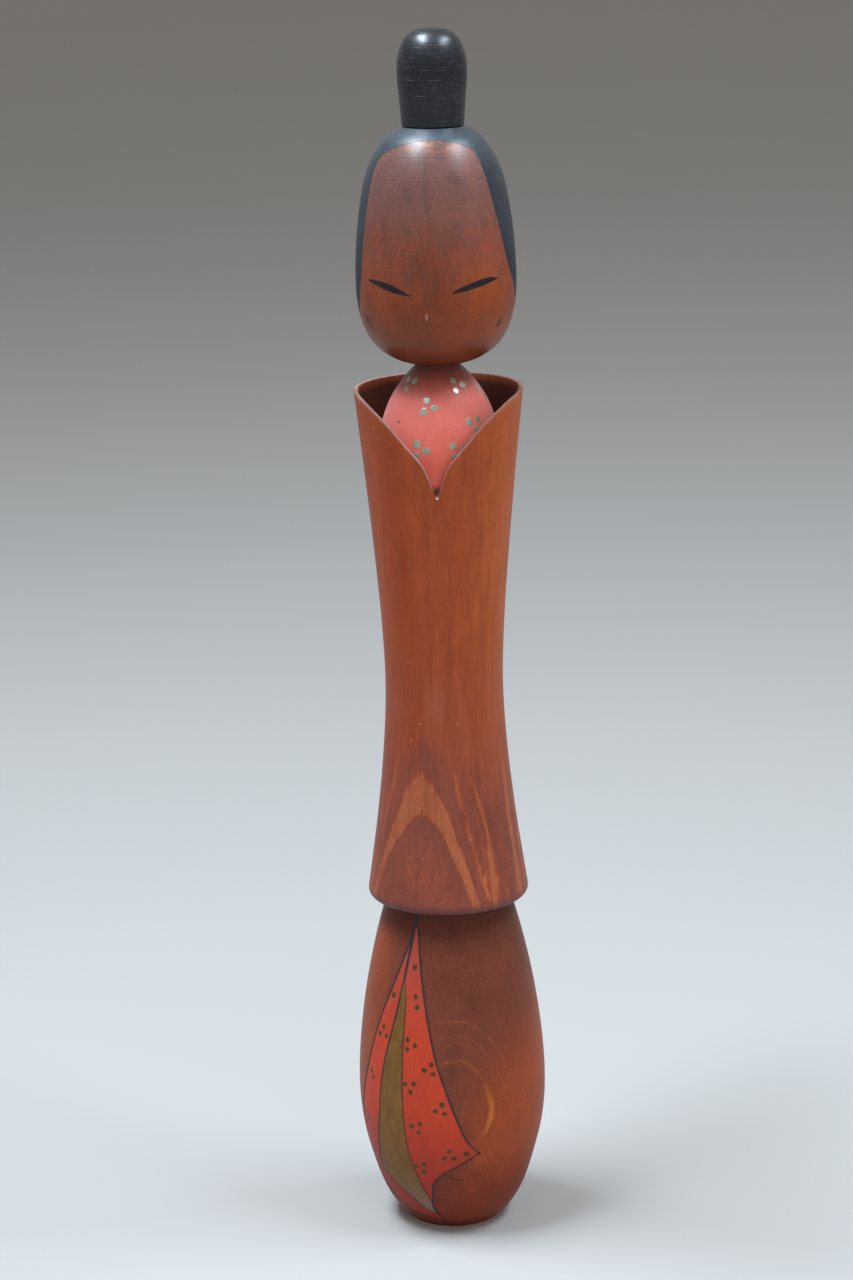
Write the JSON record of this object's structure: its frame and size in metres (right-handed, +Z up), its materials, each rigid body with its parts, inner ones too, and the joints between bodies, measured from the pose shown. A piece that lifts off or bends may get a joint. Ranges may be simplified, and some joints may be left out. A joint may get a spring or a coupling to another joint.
{
  "type": "kokeshi doll",
  "caption": "Tall turned wooden kokeshi doll with a waisted robe open in a V at the collar, a rounded lower body and a head that turns on a neck peg.",
  "frame": {"origin": "centre of the flat foot that the doll stands on", "axes": "+Z up along the turning axis, the face and the V of the collar towards -Y, +X to the viewer's right"},
  "size_m": [0.0662, 0.0662, 0.42],
  "materials": {
    "body_wood": "dark red-brown stained and varnished wood with a painted robe hem",
    "robe_wood": "orange-brown stained wood, satin varnish, flat-sawn figure low on the front",
    "face_wood": "red-brown stained wood, satin varnish, black painted hair and eyes",
    "hair_paint": "wood under satin blue-black paint",
    "chest_paint": "wood under dusty coral red paint with bronze dots",
    "dowel_wood": "bare beech dowel"
  },
  "bodies": {
    "figure": {"lower_body": "body_wood", "waist_dowel": "dowel_wood", "robe": "robe_wood", "chest": "chest_paint", "chest_dowel": "dowel_wood", "neck_peg": "dowel_wood"},
    "head": {"head": "face_wood", "topknot": "hair_paint", "topknot_dowel": "dowel_wood"}
  },
  "joints": [
    {"name": "head_turn", "type": "hinge", "parent": "figure", "child": "head", "pos_m": [0, 0, 0.308], "axis": [0, 0, 1], "continuous": true}
  ]
}
